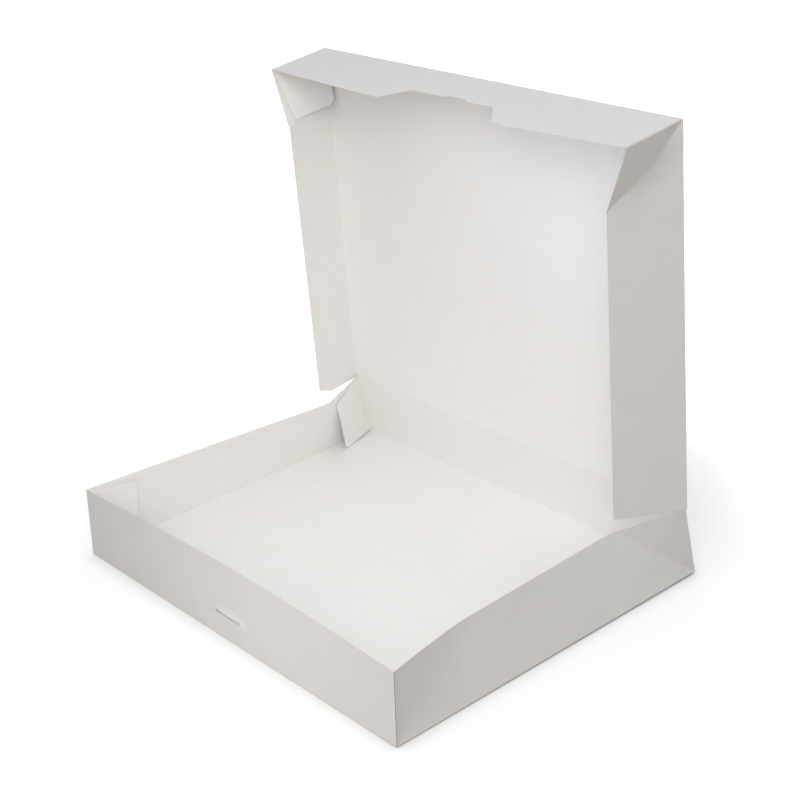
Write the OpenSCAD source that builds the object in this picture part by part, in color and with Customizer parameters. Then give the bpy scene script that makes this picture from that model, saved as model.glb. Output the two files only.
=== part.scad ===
// Folded paperboard bakery box, shown open: a shallow tray with a hinged lid.
// The whole box is one die-cut sheet, creased, folded and glued at its corners.
// X runs along the front, Y from front to back, Z up; the origin is under the middle of the floor.

/* [Board] */
// Thickness of the paperboard
board = 0.5; // [0.35:0.05:0.8]
// How much the pressed bead along a crease is wider than the board
crease_swell = 0.1; // [0.06:0.02:0.2]
// How much wider the bead is on each later fold, as folds are pressed one after another
crease_step = 0.05; // [0.03:0.01:0.1]

/* [Tray] */
// Length of the floor along the front
tray_length = 381; // [280:1:480]
// Depth of the floor from front to back
tray_depth = 292; // [220:1:380]
// Height of the front and side walls along the board
wall_height = 57; // [48:1:75]
// Inward lean of the front wall from upright
front_wall_lean = 4; // [1:0.5:7]
// Inward lean of the back wall from upright
back_wall_lean = 8.5; // [4:0.5:11]
// Inward lean of the sprung left wall between its corner folds
left_wall_lean = 14; // [8:1:25]
// Inward lean of the sprung right wall between its corner folds
right_wall_lean = 21; // [8:1:25]

/* [Hinge] */
// How much taller the back wall is than the other walls, so that the lid lies level
hinge_rise = 1.5; // [1.2:0.1:4]
// How much the rolled hinge crease is wider than the board
hinge_swell = 0.3; // [0.2:0.05:0.5]
// Running gap between the hinge crease and the back wall's upper edge
hinge_gap = 0.2; // [0.1:0.05:0.3]

/* [Lid] */
// Inward lean of the lid's left wall
lid_left_lean = 16; // [8:1:28]
// Inward lean of the lid's right wall
lid_right_lean = 26; // [8:1:28]
// Inward lean of the lid's front flap
flap_lean = 6.5; // [2:0.5:9]
// Room between the closed lid and each side of the tray
lid_side_room = 1.1; // [0.3:0.1:3]
// Room between the closed front flap and the front of the tray
lid_front_room = 2; // [1.5:0.5:8]
// Height of the closed front flap above the table
lid_foot_gap = 3; // [2:0.5:12]
// Distance from the hinge to the cut end of each lid wall
lid_wall_start = 4.5; // [3:0.5:20]

/* [Corner tabs] */
// Reach of a glue tab from the fold that carries it
tab_reach = 44; // [25:1:46]
// Distance from the panel's crease to the root of a tab
tab_foot = 3.5; // [2:0.5:6]
// Slope of a tab's edge beside the panel
tab_foot_slope = 10; // [6:1:15]
// Slope of a tab's edge beside the free edge of the wall
tab_head_slope = 5; // [2:1:10]
// Radius of a tab's rounded corner
tab_round = 6; // [3:1:9]
// How far a glued tab is pressed into the board behind it
glue_press = 0.06; // [0.03:0.01:0.12]

/* [Lock] */
// Height of the lock slit above the front crease
slit_height = 20; // [12:0.5:30]
// Straight length of the lock slit
slit_straight = 28; // [20:1:60]
// Reach of each turned-down end of the slit
slit_end_run = 10; // [5:1:20]
// Drop of each turned-down end of the slit
slit_end_drop = 4; // [2:0.5:8]
// Width of the slit's cut
slit_cut = 0.6; // [0.3:0.1:1.2]
// Length of the notch along the flap's free edge
notch_mouth = 126; // [100:1:160]
// Length of the notch at its inner edge
notch_floor = 88; // [60:1:96]
// Depth of the notch into the flap
notch_depth = 19.5; // [12:0.5:28]
// Radius of the notch's inner corners
notch_round = 2; // [1:0.5:5]
// Length of the shallow nick in the middle of the notch's inner edge
nick_length = 24; // [10:1:40]
// Depth of the nick
nick_depth = 2.5; // [1:0.5:5]

/* [Hidden] */
$fn = 32;
arc_steps = 6;
half_length = tray_length / 2;
half_depth = tray_depth / 2;
floor_mid = board / 2;
hinge_d = board + hinge_swell;

// Order of folding: end creases, side creases, corner folds, then the diagonals of the corners
end_fold = 0;
side_fold = 1;
corner_fold = 2;
diagonal_fold = 3;
function bead_d(order) = board + crease_swell + order * crease_step;

// The hinge line runs along the back wall's full height; the wall itself stops short of the rolled crease
hinge_height = wall_height + hinge_rise;
back_wall_height = hinge_height - hinge_d / 2 - hinge_gap;
hinge_y = half_depth - hinge_height * sin(back_wall_lean);
hinge_z = floor_mid + hinge_height * cos(back_wall_lean);

// The lid covers the tray: its flap and walls hang outside the tray's own when it is closed
half_lid = half_length + board + lid_side_room;
lid_depth = (hinge_z - lid_foot_gap) / cos(flap_lean);
lid_length = hinge_y + half_depth + board + lid_front_room + lid_depth * sin(flap_lean);

function unit(v) = v / norm(v);
function along(p, q, distance) = p + unit(q - p) * distance;
function spin(v, a) = [v.x * cos(a) - v.y * sin(a), v.x * sin(a) + v.y * cos(a)];

// Points of an arc of radius r that rounds the corner b between a and c
function rounded(a, b, c, r) =
    let (to_a = unit(a - b), to_c = unit(c - b), half = acos(to_a * to_c) / 2)
    let (middle = b + unit(to_a + to_c) * r / sin(half))
    let (first = b + to_a * r / tan(half) - middle, last = b + to_c * r / tan(half) - middle)
    [for (i = [0 : arc_steps]) middle + spin(first, sign(cross(first, last)) * (180 - 2 * half) * i / arc_steps)];

// Corner points of the tray's folded sheet: side is -1 left or 1 right, end is -1 front or 1 back
function foot(side, end) = [side * half_length, end * half_depth, floor_mid];
function end_lean(end) = end < 0 ? front_wall_lean : back_wall_lean;
function end_height(end) = end < 0 ? wall_height : back_wall_height;
function end_top(side, end) =
    foot(side, end) + end_height(end) * [0, -end * sin(end_lean(end)), cos(end_lean(end))];
function side_lean(side) = side < 0 ? left_wall_lean : right_wall_lean;
function gusset_top(side, end) =
    foot(side, end) + wall_height * [-side * sin(side_lean(side)), -end, cos(side_lean(side))];

// Corner points of the lid's folded sheet, standing upright on the hinge line
function lid_lean(side) = side < 0 ? lid_left_lean : lid_right_lean;
function lid_edge(side, up) = [side * half_lid, hinge_y, hinge_z + up];
function lid_wall_rim(side, up) =
    lid_edge(side, up) + lid_depth * [-side * sin(lid_lean(side)), -cos(lid_lean(side)), 0];
function flap_rim(side) =
    lid_edge(side, lid_length) + lid_depth * [0, -cos(flap_lean), -sin(flap_lean)];

// Puts flat shapes on the plane through o, with x towards a and y on b's side
module on_plane(o, a, b) {
    ex = unit(a - o);
    ez = unit(cross(ex, b - o));
    ey = cross(ez, ex);
    multmatrix([[ex.x, ey.x, ez.x, o.x], [ex.y, ey.y, ez.y, o.y], [ex.z, ey.z, ez.z, o.z]]) children();
}

// One flat panel of board through corner points that share a plane; its children are cut out of it
module panel(corners) {
    o = corners[0];
    ex = unit(corners[1] - o);
    ey = cross(unit(cross(ex, corners[2] - o)), ex);
    on_plane(o, corners[1], corners[2]) linear_extrude(board, center = true) difference() {
        polygon([for (p = corners) [(p - o) * ex, (p - o) * ey]]);
        children();
    }
}

// The rounded bead of a crease from p to q, which the die leaves unpressed at both corners
module bead(p, q, d) {
    start = along(p, q, board);
    run = along(q, p, board) - start;
    translate(start) rotate([0, acos(run.z / norm(run)), atan2(run.y, run.x)]) cylinder(d = d, h = norm(run));
}

// Outline of a glue tab: x along the fold that carries it, y away from that fold
module tab_outline(fold_length) {
    root_y = board / 2;
    root = [tab_foot, root_y];
    corner = [tab_foot + tab_reach * tan(tab_foot_slope), tab_reach];
    head = [fold_length - tab_reach * tan(tab_head_slope), tab_reach];
    polygon(concat([root], rounded(root, corner, head, tab_round), [head, [fold_length, root_y]]));
}

// A tab glued flat on the inside of the corner fold through o, a and b
module glue_tab(o, a, b, inward) {
    on_plane(o, a, b) translate([0, 0, inward * (board - glue_press)]) linear_extrude(board, center = true)
        tab_outline(norm(a - o));
}

// Lock slit in the front wall: a straight cut whose two ends turn down
module lock_slit() {
    reach = slit_straight / 2 + slit_end_run;
    upper = [[-reach, -slit_end_drop], [-slit_straight / 2, 0], [slit_straight / 2, 0], [reach, -slit_end_drop]];
    lower = [for (i = [3 : -1 : 0]) upper[i] - [0, slit_cut]];
    translate([half_length, slit_height]) polygon(concat(upper, lower));
}

// Notch in the flap's free edge, with a shallow nick in the middle of its inner edge
module flap_notch() {
    past = board;
    slope = (notch_mouth - notch_floor) / 2 / notch_depth;
    mouth = [notch_mouth / 2 + past * slope, lid_depth + past];
    inner = [notch_floor / 2, lid_depth - notch_depth];
    nick = [nick_length / 2, lid_depth - notch_depth];
    half = concat([mouth], rounded(mouth, inner, nick, notch_round), [nick, nick - [nick_depth, nick_depth]]);
    mirrored = [for (i = [len(half) - 1 : -1 : 0]) [-half[i].x, half[i].y]];
    translate([half_lid, 0]) polygon(concat(half, mirrored));
}

// One corner of the tray: the fold at the end wall, the folded triangle and the tab glued inside it
module tray_corner(side, end) {
    o = foot(side, end);
    top = end_top(side, end);
    fold = gusset_top(side, end);
    panel([o, top, fold]);
    bead(o, top, bead_d(corner_fold));
    bead(o, fold, bead_d(diagonal_fold));
    glue_tab(o, top, fold, -side * end);
}

// The tray: floor, front and back walls, sprung side walls and four glued corners, in one sheet
module tray() {
    under = 2 * bead_d(diagonal_fold);
    color("whitesmoke") difference() {
        union() {
            panel([foot(-1, -1), foot(1, -1), foot(1, 1), foot(-1, 1)]);
            panel([foot(-1, -1), foot(1, -1), end_top(1, -1), end_top(-1, -1)]) lock_slit();
            panel([foot(1, 1), foot(-1, 1), end_top(-1, 1), end_top(1, 1)]);
            for (end = [-1, 1]) bead(foot(-1, end), foot(1, end), bead_d(end_fold));
            for (side = [-1, 1]) {
                panel([foot(side, -1), foot(side, 1), gusset_top(side, 1), gusset_top(side, -1)]);
                bead(foot(side, -1), foot(side, 1), bead_d(side_fold));
                for (end = [-1, 1]) tray_corner(side, end);
            }
        }
        translate([-tray_length, -tray_depth, -under])
            cube([2 * tray_length, 2 * tray_depth, under]);
    }
}

// The lid's panel and front flap, with the rolled crease that it turns on
module lid_sheet() {
    panel([lid_edge(-1, 0), lid_edge(1, 0), lid_edge(1, lid_length), lid_edge(-1, lid_length)]);
    left = lid_edge(-1, lid_length);
    right = lid_edge(1, lid_length);
    panel([along(left, right, 2 * board), along(right, left, 2 * board), flap_rim(1), flap_rim(-1)]) flap_notch();
    bead(left, right, bead_d(end_fold));
    bead([-half_length, hinge_y, hinge_z], [half_length, hinge_y, hinge_z], hinge_d);
}

module lid() {
    color("white") lid_sheet();
}

// One sprung wall of the lid with its folded corner, meeting the panel and the flap at their creases
module lid_wall(side) {
    corner = lid_edge(side, lid_length);
    fold = lid_wall_rim(side, lid_length - lid_depth);
    start = lid_edge(side, lid_wall_start);
    difference() {
        union() {
            panel([start, corner, fold, lid_wall_rim(side, lid_wall_start)]);
            panel([corner, flap_rim(side), fold]);
            bead(start, corner, bead_d(side_fold));
            bead(corner, flap_rim(side), bead_d(corner_fold));
            bead(corner, fold, bead_d(diagonal_fold));
            glue_tab(corner, flap_rim(side), fold, -side);
        }
        lid_sheet();
    }
}

module lid_left_wall() {
    color("gainsboro") lid_wall(-1);
}

module lid_right_wall() {
    color("gainsboro") lid_wall(1);
}

tray();
lid();
lid_left_wall();
lid_right_wall();
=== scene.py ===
"""A white folded paperboard bakery box, standing open: the tray, its glued corners and the hinged lid."""
import math

import bmesh
import bpy
from mathutils import Matrix, Vector, noise
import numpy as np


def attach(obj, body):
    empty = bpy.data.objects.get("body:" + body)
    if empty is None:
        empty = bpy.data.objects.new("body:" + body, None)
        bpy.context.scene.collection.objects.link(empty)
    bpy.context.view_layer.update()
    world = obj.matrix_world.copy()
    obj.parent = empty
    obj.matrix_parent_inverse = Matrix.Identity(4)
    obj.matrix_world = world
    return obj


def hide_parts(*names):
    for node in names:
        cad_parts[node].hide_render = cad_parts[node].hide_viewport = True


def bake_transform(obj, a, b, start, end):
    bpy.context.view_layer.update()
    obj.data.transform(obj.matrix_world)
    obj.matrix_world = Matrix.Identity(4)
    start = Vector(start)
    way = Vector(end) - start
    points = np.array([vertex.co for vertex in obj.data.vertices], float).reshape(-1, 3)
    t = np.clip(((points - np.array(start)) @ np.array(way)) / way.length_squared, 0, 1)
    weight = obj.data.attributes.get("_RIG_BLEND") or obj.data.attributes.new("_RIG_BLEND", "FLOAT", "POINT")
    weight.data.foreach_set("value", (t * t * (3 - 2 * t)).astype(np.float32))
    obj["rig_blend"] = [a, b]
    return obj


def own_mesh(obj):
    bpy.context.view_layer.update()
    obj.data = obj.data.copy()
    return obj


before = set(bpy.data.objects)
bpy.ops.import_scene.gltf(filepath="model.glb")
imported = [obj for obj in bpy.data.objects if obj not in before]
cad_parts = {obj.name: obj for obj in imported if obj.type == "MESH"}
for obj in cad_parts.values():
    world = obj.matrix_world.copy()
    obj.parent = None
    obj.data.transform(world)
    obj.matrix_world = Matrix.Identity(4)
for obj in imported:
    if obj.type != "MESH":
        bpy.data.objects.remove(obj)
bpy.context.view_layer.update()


# Tray: the lower half of one die-cut sheet of white folding boxboard, clay coated on the outside.
# The floor's four edges are creased and folded up; the ends of both side walls turn in on a diagonal
# crease, and the board springs back a little, so no wall stands quite upright or quite flat.
MM = 0.001
BOARD = 0.5 * MM
FLOOR_MID = BOARD / 2
TRAY_LENGTH, TRAY_DEPTH, WALL_HEIGHT = 381 * MM, 292 * MM, 57 * MM
BACK_HEIGHT = 57.9 * MM
FRONT_LEAN, BACK_LEAN = math.radians(4), math.radians(8.5)
SHEET_CUTS, CREASE_SEGMENTS = 31, 5
UPRIGHT_EDGE, LIGHT_SCORE = 0.97, 0.1

# Metres within which two points, or a point and a plane, count as touching.
SAME_PLACE, SAME_PLANE = 1e-6, 1e-7

# Degrees at each corner, by side (-1 left, 1 right) and end (-1 front, 1 rear): how far the side wall leans
# in, and how much of the diagonal fold's angle is spread into the board beside it.
SIDE_LEANS = {(-1, -1): 6, (-1, 1): 21, (1, -1): 14, (1, 1): 27}
FOLD_RELAX = {(-1, -1): 3, (-1, 1): 5, (1, -1): 20, (1, 1): 14}
RELAX_LEAST, RELAX_MORE, RELAX_TAPER, RELAX_END = 25 * MM, 15 * MM, 0.9, 1.2


def boxboard(name, shade, lit, rough, crease):
    """Paperboard: cloudy fibre formation, fine fibres, a crease tint (the board's core, painted shade and
    painted highlights) and a slight tooth.
    """
    material = bpy.data.materials.new(name)
    material.use_nodes = True
    nodes, link = material.node_tree.nodes, material.node_tree.links.new
    surface = nodes["Principled BSDF"]
    surface.inputs["Specular IOR Level"].default_value = 0.35
    position = nodes.new("ShaderNodeTexCoord")

    cloud = nodes.new("ShaderNodeTexNoise")
    cloud.inputs["Scale"].default_value = 38
    cloud.inputs["Detail"].default_value = 4
    link(position.outputs["Object"], cloud.inputs["Vector"])
    fibre = nodes.new("ShaderNodeTexNoise")
    fibre.inputs["Scale"].default_value = 950
    fibre.inputs["Detail"].default_value = 3
    fibre.inputs["Roughness"].default_value = 0.65
    fibre.inputs["Distortion"].default_value = 1.6
    link(position.outputs["Object"], fibre.inputs["Vector"])
    mingled = nodes.new("ShaderNodeMix")
    mingled.data_type = "FLOAT"
    mingled.inputs["Factor"].default_value = 0.45
    link(cloud.outputs["Fac"], mingled.inputs["A"])
    link(fibre.outputs["Fac"], mingled.inputs["B"])

    tone = nodes.new("ShaderNodeValToRGB")
    tone.color_ramp.elements[0].position = 0.3
    tone.color_ramp.elements[0].color = (*shade, 1)
    tone.color_ramp.elements[1].position = 0.7
    tone.color_ramp.elements[1].color = (*lit, 1)
    link(mingled.outputs["Result"], tone.inputs["Fac"])
    # The crease mask tints the colour: the board's core, painted shade outside and painted highlights inside.
    score_and_painted_light = nodes.new("ShaderNodeAttribute")
    score_and_painted_light.attribute_name = "score_and_painted_light"
    creased = nodes.new("ShaderNodeMix")
    creased.data_type = "RGBA"
    creased.blend_type = "MULTIPLY"
    creased.inputs["B"].default_value = (*crease, 1)
    link(score_and_painted_light.outputs["Fac"], creased.inputs["Factor"])
    link(tone.outputs["Color"], creased.inputs["A"])
    link(creased.outputs["Result"], surface.inputs["Base Color"])

    sheen = nodes.new("ShaderNodeMapRange")
    sheen.inputs["To Min"].default_value = rough - 0.06
    sheen.inputs["To Max"].default_value = rough + 0.06
    link(mingled.outputs["Result"], sheen.inputs["Value"])
    link(sheen.outputs["Result"], surface.inputs["Roughness"])
    tooth = nodes.new("ShaderNodeBump")
    tooth.inputs["Strength"].default_value = 0.1
    tooth.inputs["Distance"].default_value = 0.06 * MM
    link(fibre.outputs["Fac"], tooth.inputs["Height"])
    link(tooth.outputs["Normal"], surface.inputs["Normal"])
    return material


# Outside darker, inside lighter and warmer: partly the coated and bare sides of the board, partly painted
# shade and painted light.
coated_face_painted_shade = boxboard(
    "coated_face_painted_shade", shade=(0.7, 0.684, 0.664), lit=(0.735, 0.718, 0.697), rough=0.5,
    crease=(0.27, 0.18, 0.13))
# The inner face's crease tint above 1 is a painted highlight along the inside creases.
inner_face_painted_light = boxboard(
    "inner_face_painted_light", shade=(0.888, 0.866, 0.838), lit=(0.916, 0.894, 0.868), rough=0.72,
    crease=(1.08, 1.07, 1.06))
cut_edge = boxboard(
    "cut_edge", shade=(0.68, 0.64, 0.59), lit=(0.75, 0.715, 0.67), rough=0.85,
    crease=(1, 1, 1))


def leaning(degrees):
    """How far a unit length that leans by these degrees goes sideways, and how far it goes straight on."""
    return math.sin(math.radians(degrees)), math.cos(math.radians(degrees))


def side_fold(side, end):
    """The foot and the head of a corner's diagonal fold, on the side wall that leans in."""
    corner = Vector((side * TRAY_LENGTH / 2, end * TRAY_DEPTH / 2, FLOOR_MID))
    inward, upward = leaning(SIDE_LEANS[side, end])
    return corner, corner + WALL_HEIGHT * Vector((-side * inward, -end, upward))


def fold_out(bm, edges):
    """Adds a panel along each of these edges and returns its new vertices, which still have to be moved."""
    done = bmesh.ops.extrude_edge_only(bm, edges=edges)
    return [part for part in done["geom"] if isinstance(part, bmesh.types.BMVert)]


def face_towards(bm, outward):
    """Turns all the faces of a sheet so that its coated side looks outward."""
    bmesh.ops.recalc_face_normals(bm, faces=bm.faces[:])
    if sum(f.normal.dot(outward) * f.calc_area() for f in bm.faces) < 0:
        bmesh.ops.reverse_faces(bm, faces=bm.faces[:])


def once(parts):
    """Each of these parts once and in the order given, so that every run gives the same mesh."""
    return list(dict.fromkeys(parts))


def cut_across(bm, faces, point, normal):
    """Cuts these faces along a plane and returns them with the new ones."""
    parts = once(part for face in faces for part in (face, *face.edges, *face.verts))
    done = bmesh.ops.bisect_plane(bm, geom=parts, dist=SAME_PLANE, plane_co=point, plane_no=normal)
    return once(part for part in (*faces, *done["geom"]) if isinstance(part, bmesh.types.BMFace))


def press_creases(bm, radius, least_fold, wear_and_painted_light):
    """Rounds every fold sharper than least_fold degrees and marks the rounded strips in a crease mask.
    Upright folds, where the board's core shows, take the given strength; the base half of it, as painted
    contact shadow; others lightly. On the inner face the same marks are painted highlights."""
    folds = [e for e in bm.edges if e.is_manifold and e.calc_face_angle(0) > math.radians(least_fold)]
    done = bmesh.ops.bevel(
        bm, geom=folds, offset=radius, offset_type="OFFSET", segments=CREASE_SEGMENTS, profile=0.5,
        affect="EDGES", clamp_overlap=True, material=-1)
    strips = set(done["faces"])
    score_and_painted_light = bm.verts.layers.float.new("score_and_painted_light")
    for vert in bm.verts:
        if vert.link_faces and all(f in strips for f in vert.link_faces):
            upright = max(abs((e.verts[0].co - e.verts[1].co).normalized().z) for e in vert.link_edges)
            if upright > UPRIGHT_EDGE:
                vert[score_and_painted_light] = wear_and_painted_light
            # Along the base the brown tint is a painted contact shadow under the floor's edge.
            elif vert.co.z < 2 * radius:
                vert[score_and_painted_light] = wear_and_painted_light / 2
            else:
                vert[score_and_painted_light] = LIGHT_SCORE


def relax_fold(bm, start, end, fold):
    """Softens the diagonal fold from start to end by these degrees: the board beside it curves instead."""
    bm.normal_update()
    crease = end - start
    for vert in bm.verts:
        along = (vert.co - start).dot(crease) / crease.length_squared
        if 0 < along < RELAX_END:
            off = (vert.co - start - crease * along).length
            widest = RELAX_LEAST + RELAX_MORE * max(0, math.sin(math.pi * along))
            width = min(RELAX_TAPER * crease.length * along, widest)
            vert.co += vert.normal * math.radians(fold) * width / 4 * max(0, 1 - off / width) ** 2


def board_piece(name, bm):
    """Makes a folded sheet's object: coated outside and bare inside, their colours partly painted shade and
    light, cut edges, and the board's thickness.
    """
    mesh = bpy.data.meshes.new(name)
    bm.to_mesh(mesh)
    bm.free()
    piece = bpy.data.objects.new(name, mesh)
    bpy.context.scene.collection.objects.link(piece)
    for material in (coated_face_painted_shade, inner_face_painted_light, cut_edge):
        mesh.materials.append(material)
    thickness = piece.modifiers.new("board", "SOLIDIFY")
    thickness.thickness = BOARD
    thickness.offset = 0
    thickness.use_even_offset = True
    thickness.use_quality_normals = True
    thickness.material_offset = 1
    thickness.material_offset_rim = 2
    return piece


front_up = Vector((0, math.sin(FRONT_LEAN), math.cos(FRONT_LEAN)))
back_up = Vector((0, -math.sin(BACK_LEAN), math.cos(BACK_LEAN)))
tray = bmesh.new()
bmesh.ops.create_grid(
    tray, x_segments=1, y_segments=1, size=1,
    matrix=Matrix.Translation((0, 0, FLOOR_MID)) @ Matrix.Diagonal((TRAY_LENGTH / 2, TRAY_DEPTH / 2, 1, 1)))
for vert in fold_out(tray, tray.edges[:]):
    vert.co += front_up * WALL_HEIGHT if vert.co.y < 0 else back_up * BACK_HEIGHT
side_rims = [
    e for e in tray.edges
    if all(v.co.z > WALL_HEIGHT / 2 for v in e.verts) and abs(e.verts[0].co.x - e.verts[1].co.x) < MM]
bmesh.ops.bisect_edges(tray, edges=side_rims, cuts=2)
for side, end in SIDE_LEANS:
    foot, turn = side_fold(side, end)
    third = Vector((foot.x, foot.y / 3, WALL_HEIGHT))
    foot_vert = min(tray.verts, key=lambda v: (v.co - foot).length)
    turn_vert = min(tray.verts, key=lambda v: (v.co - third).length)
    turn_vert.co = turn
    bmesh.ops.connect_verts(tray, verts=[foot_vert, turn_vert])
bmesh.ops.subdivide_edges(tray, edges=tray.edges[:], cuts=SHEET_CUTS, use_grid_fill=True)
face_towards(tray, Vector((0, 0, -1)))

# Lock slit: a cut through the front wall, with ends that turn down, which takes the lid's flap. Its upper
# lip springs proud, and the edge below it sags a little and shows the board's brown core under a painted lip
# shadow.
SLIT_HEIGHT, SLIT_HALF, SLIT_REACH, SLIT_DROP = 20 * MM, 14 * MM, TRAY_LENGTH / 16, 4 * MM
SLIT_GAP, SLIT_COLUMNS, FACING_FRONT = 1.6 * MM, 12, -0.9
LIP_PROUD, LIP_TALL, LIP_BOW, LIP_CURL, LIP_SKEW = 1.6 * MM, 5 * MM, 0.7, 1.3, 0.4


def up_front(co):
    """How far up the front wall a point lies, along the wall."""
    return (co.z - FLOOR_MID) / math.cos(FRONT_LEAN)


def slit_at(x):
    """How far up the front wall the slit runs at x."""
    return SLIT_HEIGHT - SLIT_DROP * max(0, abs(x) - SLIT_HALF) / (SLIT_REACH - SLIT_HALF)


def over_slit(co):
    """How far above the slit a point of the front wall lies."""
    return up_front(co) - slit_at(co.x)


def front_faces():
    """The tray's faces that look to the front."""
    return [f for f in tray.faces if f.normal.y < FACING_FRONT]


front = front_faces()
for step in range(-SLIT_COLUMNS, SLIT_COLUMNS + 1):
    front = cut_across(tray, front, (SLIT_REACH * step / SLIT_COLUMNS, 0, 0), (1, 0, 0))
for x0, x1 in ((-SLIT_REACH, -SLIT_HALF), (-SLIT_HALF, SLIT_HALF), (SLIT_HALF, SLIT_REACH)):
    span = [f for f in front if x0 < f.calc_center_median().x < x1]
    cut_line = Vector((x1 - x0, 0, 0)) + front_up * (slit_at(x1) - slit_at(x0))
    start = Vector((x0, -TRAY_DEPTH / 2, FLOOR_MID)) + front_up * slit_at(x0)
    cut_across(tray, span, start, cut_line.cross(Vector((0, -1, 0))))
slit = [
    e for e in once(e for f in front_faces() for e in f.edges)
    if all(abs(v.co.x) < SLIT_REACH + SAME_PLACE and abs(over_slit(v.co)) < SAME_PLACE for v in e.verts)]
bmesh.ops.split_edges(tray, edges=slit)

# A point on the slit goes with the side that its faces lie on.
for vert in once(v for f in front_faces() for v in f.verts):
    over = over_slit(vert.co)
    above = sum(over_slit(f.calc_center_median()) for f in vert.link_faces) > 0
    along = vert.co.x / SLIT_REACH
    if abs(along) < 1 and abs(over) < LIP_TALL:
        share = math.cos(along * math.pi / 2) ** LIP_BOW
        if above:
            skewed = 1 - LIP_SKEW / 2 + LIP_SKEW * along
            vert.co.y -= LIP_PROUD * share * skewed * (1 - over / LIP_TALL) ** LIP_CURL
        else:
            vert.co.z -= SLIT_GAP * share * (1 + over / LIP_TALL)

# The board's own spring: the front wall bows in along its free edge, every wall waves a little, and the
# floor's right edge stands just off the table, most at the rear.
FRONT_BOW, BOW_CURVE, SPRING_WAVE, WAVE_SCALE = 5.4 * MM, 1.4, 0.35 * MM, 11
EDGE_LIFT, LIFT_CURVE, LIFT_MIDDLE, LIFT_REARWARD = 1.6 * MM, 4, 0.7, 0.6
for vert in tray.verts:
    height = max(0, vert.co.z - FLOOR_MID) / WALL_HEIGHT
    spread = math.cos(vert.co.x / TRAY_LENGTH * math.pi)
    if vert.co.y < -TRAY_DEPTH / 2 + 2 * math.tan(FRONT_LEAN) * WALL_HEIGHT:
        vert.co.y += FRONT_BOW * spread * height ** BOW_CURVE
    vert.co += vert.normal * noise.noise(vert.co * WAVE_SCALE) * SPRING_WAVE * height * max(0, spread)
    to_right = max(0, vert.co.x / TRAY_LENGTH * 2)
    lift = EDGE_LIFT * to_right ** LIFT_CURVE * (LIFT_MIDDLE + LIFT_REARWARD * vert.co.y / TRAY_DEPTH)
    vert.co.z += lift * max(0, 1 - height)
for (side, end), fold in FOLD_RELAX.items():
    relax_fold(tray, *side_fold(side, end), fold)
press_creases(tray, radius=1.3 * MM, least_fold=22, wear_and_painted_light=1)

# The brown core shows at the slit's lower edge; below it a painted shadow of the lip fades out.
CORE_SHADE_START, CORE_SHADE_END, FRONT_BAND = 0.1 * MM, 3 * MM, -0.48 * TRAY_DEPTH + FRONT_BOW
score_and_painted_light = tray.verts.layers.float["score_and_painted_light"]
for vert in tray.verts:
    below = slit_at(vert.co.x) - up_front(vert.co)
    if vert.co.y < FRONT_BAND and abs(vert.co.x) < SLIT_HALF and CORE_SHADE_START < below < CORE_SHADE_END:
        vert[score_and_painted_light] = 1 if vert.is_boundary else 1 - below / CORE_SHADE_END
tray_sheet = board_piece("tray_sheet", tray)
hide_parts("tray")
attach(tray_sheet, "tray")


# Glue tabs of the tray: the ends of the front and back walls, folded round the corner and glued flat
# to the inside of the turned-in triangles; their lower ends run past the triangle and stand free.
TAB_REACH, TAB_ROUND, TAB_ROOT, TAB_HEAD_SLOPE = 44 * MM, 5 * MM, 0.3 * MM, math.tan(math.radians(5))
TAB_GIVE, TAB_BEND, TAB_STRIPS, GLUE_LINE = 0.3, 6 * MM, 12, 0.03 * MM
FOLD_PER_LEAN, BELLY_CURVE = 1.57, 1.5
TRAY_TAB_CUT = (2.2 * MM, 4 * MM, 3 * MM)


def belly_along(share):
    """How full a triangle's belly is at this share of its diagonal: not at all at both ends."""
    return math.sin(math.pi * share) ** BELLY_CURVE


def glue_tab(foot, top, turn, inside, lean, cut, belly):
    """The sheet of a tab that hangs on the fold from foot to top and lies in the plane through turn.
    The cut gives its clearance at the foot, and how its lower edge slants and its reach tapers. Past the
    diagonal it settles back towards the wall, more where the wall leans further, and it follows the
    triangle's belly."""
    along = (top - foot).normalized()
    across = (turn - foot - along * (turn - foot).dot(along)).normalized()
    lift = along.cross(across)
    if lift.dot(inside) < 0:
        lift.negate()
    length = (top - foot).length
    clear, slant, taper = cut
    tab = bmesh.new()
    corners = [tab.verts.new((*point, 0)) for point in (
        (clear, TAB_ROOT), (length - TAB_ROOT, TAB_ROOT),
        (length - TAB_REACH * TAB_HEAD_SLOPE, TAB_REACH), (clear + slant, TAB_REACH - taper))]
    tab.faces.new(corners)
    bmesh.ops.bevel(
        tab, geom=[corners[3]], offset=TAB_ROUND, offset_type="OFFSET", segments=3, profile=0.5,
        affect="VERTICES", clamp_overlap=True, material=-1)
    for step in range(-TAB_STRIPS, TAB_STRIPS):
        cut_across(tab, tab.faces[:], (0, TAB_REACH * step / TAB_STRIPS, 0), (-1, 1, 0))
    for vert in tab.verts:
        past = (vert.co.y - vert.co.x) / math.sqrt(2)
        free = max(0, past)
        give = TAB_GIVE * math.sin(math.radians(lean * FOLD_PER_LEAN)) * free ** 2 / (free + TAB_BEND)
        share = (vert.co.x + vert.co.y) / 2 / length
        room = max(SAME_PLACE, min(share, 1 - share) * math.sqrt(2) * length)
        swell = belly * belly_along(share) * max(0, 1 - abs(past) / room)
        height = BOARD + GLUE_LINE - give - swell
        vert.co = foot + along * vert.co.x + across * vert.co.y + lift * height
    tab.normal_update()
    if sum(f.normal.dot(inside) for f in tab.faces) > 0:
        bmesh.ops.reverse_faces(tab, faces=tab.faces[:])
    return tab


for (side, end), lean in SIDE_LEANS.items():
    foot, turn = side_fold(side, end)
    top = foot + (front_up * WALL_HEIGHT if end < 0 else back_up * BACK_HEIGHT)
    place = ("front" if end < 0 else "rear") + ("_left" if side < 0 else "_right")
    tab = glue_tab(foot, top, turn, Vector((-side, 0, 0)), lean, TRAY_TAB_CUT, 0)
    tab_piece = board_piece(place + "_tab", tab)
    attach(tab_piece, "tray")


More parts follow.
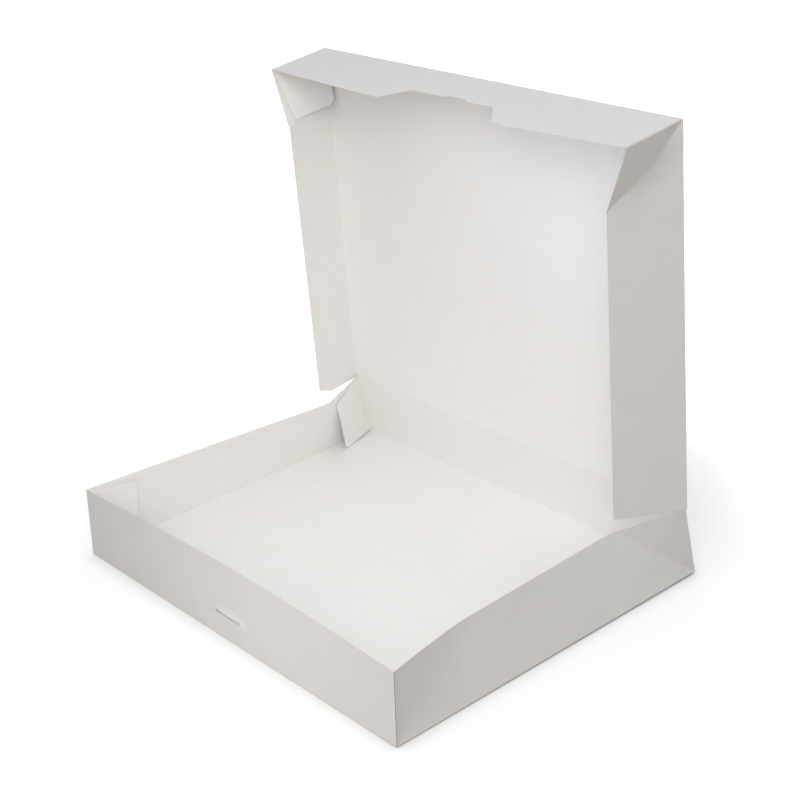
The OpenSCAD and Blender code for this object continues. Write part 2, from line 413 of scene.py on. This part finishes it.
# Lid: the upper half of the same sheet, a flat panel with a front flap folded over along its free edge.
# The flap's edge is die-cut to a wide notch with a shallow nick, where a finger lifts it off the lock.
HINGE_Y, HINGE_Z = 137.3532 * MM, 58.1074 * MM
LID_HALF, LID_LENGTH, FLAP_DEPTH = 192.1 * MM, 292.13 * MM, 55.46 * MM
FLAP_LEAN, LID_TILT = math.radians(6.5), math.radians(0.8)
ROOT_TURN, HINGE_STRIP = 0.7 * MM, 1.5 * MM
NOTCH_MIDDLE, NOTCH_MOUTH, NOTCH_FLOOR, NOTCH_DEPTH = 2.5 * MM, 63 * MM, 44 * MM, 19.5 * MM
NICK_ASIDE, NICK_HALF, NICK_DEPTH = 3.5 * MM, 12 * MM, 2.5 * MM
FLAP_SAG, SAG_CURVE, FACING_UP = 4 * MM, 1.5, 0.5

lid = bmesh.new()
panel_half = LID_HALF - ROOT_TURN
panel_middle = Matrix.Translation((0, HINGE_Y, HINGE_Z + (LID_LENGTH + HINGE_STRIP) / 2))
panel_size = Matrix.Diagonal((2 * panel_half, LID_LENGTH - HINGE_STRIP, 1, 1))
bmesh.ops.create_grid(
    lid, x_segments=1, y_segments=1, size=0.5,
    matrix=panel_middle @ Matrix.Rotation(math.pi / 2, 4, "X") @ panel_size)
lid_top = HINGE_Z + LID_LENGTH
front_crease = [e for e in lid.edges if all(v.co.z > lid_top - MM for v in e.verts)]
flap_out = Vector((0, -math.cos(FLAP_LEAN), -math.sin(FLAP_LEAN)))
for vert in fold_out(lid, front_crease):
    vert.co += flap_out * FLAP_DEPTH
bmesh.ops.subdivide_edges(lid, edges=lid.edges[:], cuts=SHEET_CUTS, use_grid_fill=True)
face_towards(lid, Vector((0, 1, 0)))


def flap_place(co):
    """Along the flap from the middle of its notch, and out from the crease."""
    return co.x - NOTCH_MIDDLE, (co - Vector((0, HINGE_Y, lid_top))).dot(flap_out)


def on_flap(x, out):
    """The point of the flap that flap_place gives as x and out."""
    return Vector((NOTCH_MIDDLE + x, HINGE_Y, lid_top)) + flap_out * out


floor_out = FLAP_DEPTH - NOTCH_DEPTH
flap = [f for f in lid.faces if f.normal.z > FACING_UP]
flap_up = flap[0].normal.copy()
for side in (-1, 1):
    for aside, mouth, depth in (
        (0, (NOTCH_MOUTH, FLAP_DEPTH), (NOTCH_FLOOR, floor_out)),
        (NICK_ASIDE, (NICK_HALF, floor_out), (NICK_HALF - NICK_DEPTH, floor_out - NICK_DEPTH)),
    ):
        start = on_flap(aside + side * mouth[0], mouth[1])
        stop = on_flap(aside + side * depth[0], depth[1])
        flap = cut_across(lid, flap, start, (stop - start).cross(flap_up))
for out in (floor_out, floor_out - NICK_DEPTH):
    flap = cut_across(lid, flap, on_flap(0, out), flap_out)
removed = []
for face in flap:
    along, out = flap_place(face.calc_center_median())
    notch_half = NOTCH_FLOOR + (NOTCH_MOUTH - NOTCH_FLOOR) * (out - floor_out) / NOTCH_DEPTH
    nick_half = NICK_HALF - (floor_out - out)
    in_nick = out > floor_out - NICK_DEPTH and abs(along - NICK_ASIDE) < nick_half
    if in_nick or (out > floor_out and abs(along) < notch_half):
        removed.append(face)
bmesh.ops.delete(lid, geom=removed, context="FACES")
bmesh.ops.remove_doubles(lid, verts=lid.verts[:], dist=SAME_PLACE)
for vert in lid.verts:
    out = flap_place(vert.co)[1]
    spread = math.cos(vert.co.x / LID_HALF * math.pi / 2)
    if vert.normal.z > FACING_UP and out > 0:
        vert.co.z -= FLAP_SAG * max(0, spread) * (out / FLAP_DEPTH) ** SAG_CURVE
press_creases(lid, radius=0.6 * MM, least_fold=20, wear_and_painted_light=0.1)


def lean_back(bm):
    """Tilts a sheet of the lid about the hinge, past upright."""
    tilt = Matrix.Rotation(-LID_TILT, 3, "X")
    bmesh.ops.rotate(bm, cent=(0, HINGE_Y, HINGE_Z), matrix=tilt, verts=bm.verts[:])


lean_back(lid)
lid_sheet = board_piece("lid_sheet", lid)
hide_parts("lid")
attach(lid_sheet, "lid")


# Side walls of the lid: folded forward along the panel's edges and turned in at the flap on a diagonal
# crease, with the flap's glue tab inside. They spring inwards.
LID_LEANS = {-1: (15, 17.5), 1: (25, 29.5)}
LID_WALL_CUTS = 23
ROOT_CUTS, RIM_CUT = {-1: -2.2 * MM, 1: 0.2 * MM}, 1.4 * MM
FOOT_CHAMFERS = {-1: (17 * MM, 5.7 * MM), 1: (4 * MM, 1 * MM)}
BELLY, BELLY_WIDTH, BELLY_STRIPS, BELLY_ENDS = {-1: 1.5 * MM, 1: 4.5 * MM}, 22 * MM, 11, 0.001
LID_TAB_CUT = (1.8 * MM, 5.6 * MM, 0)
up_lid = Vector((0, 0, 1))


def wall_reach(side, lean):
    """From the panel's edge to the free edge of a side wall that leans in by these degrees."""
    inward, forward = leaning(lean)
    return FLAP_DEPTH * Vector((-side * inward, -forward, 0))


for side, (lean_above, lean_below) in LID_LEANS.items():
    edge = Vector((side * LID_HALF, HINGE_Y, HINGE_Z))
    corner = edge + up_lid * LID_LENGTH
    rim = corner + flap_out * FLAP_DEPTH
    turn = corner - up_lid * FLAP_DEPTH + wall_reach(side, lean_above)
    low_root = edge + up_lid * ROOT_CUTS[side]
    low_rim = edge + up_lid * RIM_CUT + wall_reach(side, lean_below)
    wall = bmesh.new()
    points = [wall.verts.new(p) for p in (low_root, corner, turn, low_rim, rim)]
    wall.faces.new(points[:4])
    wall.faces.new((points[1], points[4], points[2]))
    for vert in fold_out(wall, [e for e in wall.edges if set(e.verts) == {points[0], points[1]}]):
        vert.co.x -= side * ROOT_TURN
    long_edges = [e for e in wall.edges if e.calc_length() > 2 * ROOT_TURN]
    bmesh.ops.subdivide_edges(wall, edges=long_edges, cuts=LID_WALL_CUTS, use_grid_fill=True)

    # The foot is cut off at a slant, so that it clears the tray's corner.
    inset, rise = FOOT_CHAMFERS[side]
    first = low_rim + (low_root - low_rim).normalized() * inset
    last = low_rim + up_lid * rise
    below = (last - first).cross(wall_reach(side, lean_below).cross(up_lid))
    if below.z > 0:
        below.negate()
    bmesh.ops.bisect_plane(
        wall, geom=wall.verts[:] + wall.edges[:] + wall.faces[:], dist=SAME_PLANE,
        plane_co=first, plane_no=below, clear_outer=True)
    face_towards(wall, Vector((side, 0, 0)))

    # The board rolls round the diagonal fold in a soft belly, so it is cut into strips along the fold.
    diagonal, wall_way = turn - corner, low_rim - turn
    wall_way = (wall_way - diagonal * wall_way.dot(diagonal) / diagonal.length_squared).normalized()
    for step in range(1, BELLY_STRIPS + 1):
        cut_across(wall, wall.faces[:], corner + wall_way * BELLY_WIDTH * step / BELLY_STRIPS, wall_way)
    for vert in wall.verts:
        share = (vert.co - corner).dot(diagonal) / diagonal.length_squared
        aside = (vert.co - corner - diagonal * share).dot(wall_way)
        if BELLY_ENDS < share < 1 - BELLY_ENDS:
            room = min(share, 1 - share) * diagonal.length
            fullness = max(0, 1 - aside / BELLY_WIDTH) ** 2 if aside > 0 else max(0, 1 + aside / room)
            vert.co.x += side * BELLY[side] * belly_along(share) * fullness
    press_creases(wall, radius=0.45 * MM, least_fold=8, wear_and_painted_light=0.2)
    place = "lid_left" if side < 0 else "lid_right"
    tab = glue_tab(corner, rim, turn, Vector((-side, 0, 0)), lean_above, LID_TAB_CUT, BELLY[side])
    for name, sheet in ((place + "_sheet", wall), (place + "_tab", tab)):
        lean_back(sheet)
        piece = board_piece(name, sheet)
        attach(piece, "lid")
        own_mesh(piece)
        if sheet is wall:
            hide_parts(place + "_wall")


# Hinge crease: the pressed strip of the same sheet between the back wall and the lid. The board is
# scored twice here so that it rolls over as the lid swings, and the strip is crushed unevenly.
HINGE_BULGE, HINGE_COLUMNS, HINGE_ROWS = 0.22 * MM, 160, 7
CRUSH_ALONG, CRUSH_ACROSS, CRUSH_MEAN, CRUSH_SWING = 120, 3, 0.5, 2.2
hinge = bmesh.new()
low = Vector((0, TRAY_DEPTH / 2, FLOOR_MID)) + back_up * BACK_HEIGHT
high = Vector((0, HINGE_Y + HINGE_STRIP * math.sin(LID_TILT), HINGE_Z + HINGE_STRIP * math.cos(LID_TILT)))
ends = [hinge.verts.new((x, p.y, p.z)) for x, p in (
    (-TRAY_LENGTH / 2, low), (TRAY_LENGTH / 2, low), (panel_half, high), (-panel_half, high))]
hinge.faces.new(ends)
short_edges = [e for e in hinge.edges if e.calc_length() < TRAY_LENGTH / 2]
bmesh.ops.subdivide_edges(hinge, edges=short_edges, cuts=HINGE_ROWS)
long_edges = [e for e in hinge.edges if e.calc_length() > TRAY_LENGTH / 2]
bmesh.ops.subdivide_edges(hinge, edges=long_edges, cuts=HINGE_COLUMNS, use_grid_fill=True)
for vert in hinge.verts:
    share = (vert.co.z - low.z) / (high.z - low.z)
    crushed = noise.noise(Vector((vert.co.x * CRUSH_ALONG, share * CRUSH_ACROSS, 0)))
    vert.co.y -= HINGE_BULGE * (CRUSH_MEAN + CRUSH_SWING * crushed) * math.sin(math.pi * share) ** 2
face_towards(hinge, Vector((0, 1, 0)))
hinge_crease = board_piece("hinge_crease", hinge)
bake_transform(hinge_crease, "tray", "lid", start=low, end=high)


# Floor: a white sweep, which stays white to the camera and still takes the box's soft shadow. The box
# itself sees it as a duller table, so that little light comes up from below.
TABLE, SWEEP, SWEEP_SIZE, SWEEP_BELOW = (0.46, 0.42, 0.385, 1), (0.63, 0.618, 0.606, 1), 6, 0.05 * MM
SWEEP_GLOW, GLOW_FROM, GLOW_FULL, CONTACT_REACH = 0.42, 0.24, 0.47, 14 * MM
stand = bpy.data.materials.new("white_sweep")
stand.use_nodes = True
nodes, link = stand.node_tree.nodes, stand.node_tree.links.new
matt = nodes["Principled BSDF"]
matt.inputs["Roughness"].default_value = 0.9
matt.inputs["Specular IOR Level"].default_value = 0
matt.inputs["Emission Color"].default_value = (1, 1, 1, 1)
floor_ray = nodes.new("ShaderNodeLightPath")
seen = nodes.new("ShaderNodeMix")
seen.data_type = "RGBA"
seen.inputs["A"].default_value = TABLE
seen.inputs["B"].default_value = SWEEP
link(floor_ray.outputs["Is Camera Ray"], seen.inputs["Factor"])
link(seen.outputs["Result"], matt.inputs["Base Color"])
floor_point = nodes.new("ShaderNodeTexCoord")
apart = nodes.new("ShaderNodeVectorMath")
apart.operation = "LENGTH"
link(floor_point.outputs["Object"], apart.inputs[0])
away = nodes.new("ShaderNodeMapRange")
away.interpolation_type = "SMOOTHSTEP"
away.inputs["From Min"].default_value = GLOW_FROM
away.inputs["From Max"].default_value = GLOW_FULL
away.inputs["To Min"].default_value = SWEEP_GLOW
away.inputs["To Max"].default_value = 1
link(apart.outputs["Value"], away.inputs["Value"])
# Painted contact shadow: the floor's glow is dimmed where the box stands close over it.
painted_contact_shade = nodes.new("ShaderNodeAmbientOcclusion")
painted_contact_shade.samples = 3
painted_contact_shade.inputs["Distance"].default_value = CONTACT_REACH
held = nodes.new("ShaderNodeMath")
held.operation = "MULTIPLY"
link(painted_contact_shade.outputs["AO"], held.inputs[0])
link(away.outputs["Result"], held.inputs[1])
glow = nodes.new("ShaderNodeMath")
glow.operation = "MULTIPLY"
link(held.outputs["Value"], glow.inputs[0])
link(floor_ray.outputs["Is Camera Ray"], glow.inputs[1])
link(glow.outputs["Value"], matt.inputs["Emission Strength"])
sweep_mesh = bpy.data.meshes.new("sweep")
sweep = bmesh.new()
bmesh.ops.create_grid(
    sweep, x_segments=1, y_segments=1, size=SWEEP_SIZE, matrix=Matrix.Translation((0, 0, -SWEEP_BELOW)))
sweep.to_mesh(sweep_mesh)
sweep.free()
sweep_mesh.materials.append(stand)
sweep_floor = bpy.data.objects.new("sweep", sweep_mesh)
bpy.context.scene.collection.objects.link(sweep_floor)


# Light: a white studio tent that is brightest overhead and on the left. Two soft boxes stand at the front
# right, and two small ones brighten the middle of the front wall and the right of the lid's panel.
TENT_COLOUR, TENT_LEVEL, TENT_SLOPE = (0.97, 1, 1.035, 1), 0.515, (-0.26, 0, 0.265)
world = bpy.data.worlds.new("tent")
bpy.context.scene.world = world
world.use_nodes = True
nodes, link = world.node_tree.nodes, world.node_tree.links.new
tent = nodes["Background"]
tent.inputs["Color"].default_value = TENT_COLOUR
heading = nodes.new("ShaderNodeTexCoord")
slope = nodes.new("ShaderNodeVectorMath")
slope.operation = "DOT_PRODUCT"
slope.inputs[1].default_value = TENT_SLOPE
link(heading.outputs["Generated"], slope.inputs[0])
brightness = nodes.new("ShaderNodeMath")
brightness.operation = "ADD"
brightness.inputs[1].default_value = TENT_LEVEL
link(slope.outputs["Value"], brightness.inputs[0])
link(brightness.outputs["Value"], tent.inputs["Strength"])
backdrop = nodes.new("ShaderNodeBackground")
backdrop.inputs["Color"].default_value = (1, 1, 1, 1)
sky_ray = nodes.new("ShaderNodeLightPath")
shown = nodes.new("ShaderNodeMixShader")
link(sky_ray.outputs["Is Camera Ray"], shown.inputs["Fac"])
link(tent.outputs["Background"], shown.inputs[1])
link(backdrop.outputs["Background"], shown.inputs[2])
link(shown.outputs["Shader"], nodes["World Output"].inputs["Surface"])


def soft_box(name, stands, target, size, power, tint=(1, 1, 1)):
    """A square lamp that looks at its target and that the camera doesn't see."""
    lamp = bpy.data.lights.new(name, "AREA")
    lamp.shape = "SQUARE"
    lamp.size = size
    lamp.energy = power
    lamp.color = tint
    holder = bpy.data.objects.new(name, lamp)
    holder.location = stands
    holder.rotation_euler = (Vector(target) - Vector(stands)).to_track_quat("-Z", "Y").to_euler()
    holder.visible_camera = False
    bpy.context.scene.collection.objects.link(holder)


soft_box("key", (1.05, -0.85, 0.9), (0, 0, 0.12), size=0.8, power=7.1, tint=(1.01, 1, 0.99))
soft_box("top", (0.8, -0.8, 1.5), (0, 0, 0.12), size=0.8, power=4.6)
soft_box("front", (0.06, -0.356, 0.045), (0.06, 0, 0.045), size=0.08, power=0.08)
soft_box("lid", (0.09, -0.013, 0.3), (0.09, 0.137, 0.3), size=0.06, power=0.027, tint=(0.88, 1.06, 1.36))


# Camera: a short telephoto lens, looking down at the open box from its front right corner.
LENS_PIXELS, FRAME_PIXELS, SENSOR = 1720.338, 800, 36
AZIMUTH, ELEVATION, ROLL = math.radians(51.946), math.radians(24.737), math.radians(-5.550)
DISTANCE, ASIDE, ABOVE = 3.302 * TRAY_LENGTH, 0.081 * TRAY_LENGTH, -0.119 * TRAY_LENGTH
view_back = Vector((
    math.sin(AZIMUTH) * math.cos(ELEVATION), -math.cos(AZIMUTH) * math.cos(ELEVATION), math.sin(ELEVATION)))
level = Vector((math.cos(AZIMUTH), math.sin(AZIMUTH), 0))
upright = view_back.cross(level)
view_right = level * math.cos(ROLL) + upright * math.sin(ROLL)
view_up = upright * math.cos(ROLL) - level * math.sin(ROLL)
eye = Vector((0, 0, TRAY_LENGTH / 2)) + view_right * ASIDE + view_up * ABOVE + view_back * DISTANCE
lens = bpy.data.cameras.new("camera")
lens.sensor_width = SENSOR
lens.lens = LENS_PIXELS / FRAME_PIXELS * SENSOR
camera = bpy.data.objects.new("camera", lens)
camera.matrix_world = Matrix.Translation(eye) @ Matrix((view_right, view_up, view_back)).transposed().to_4x4()
bpy.context.scene.collection.objects.link(camera)
bpy.context.scene.camera = camera
bpy.context.scene.view_settings.view_transform = "Standard"
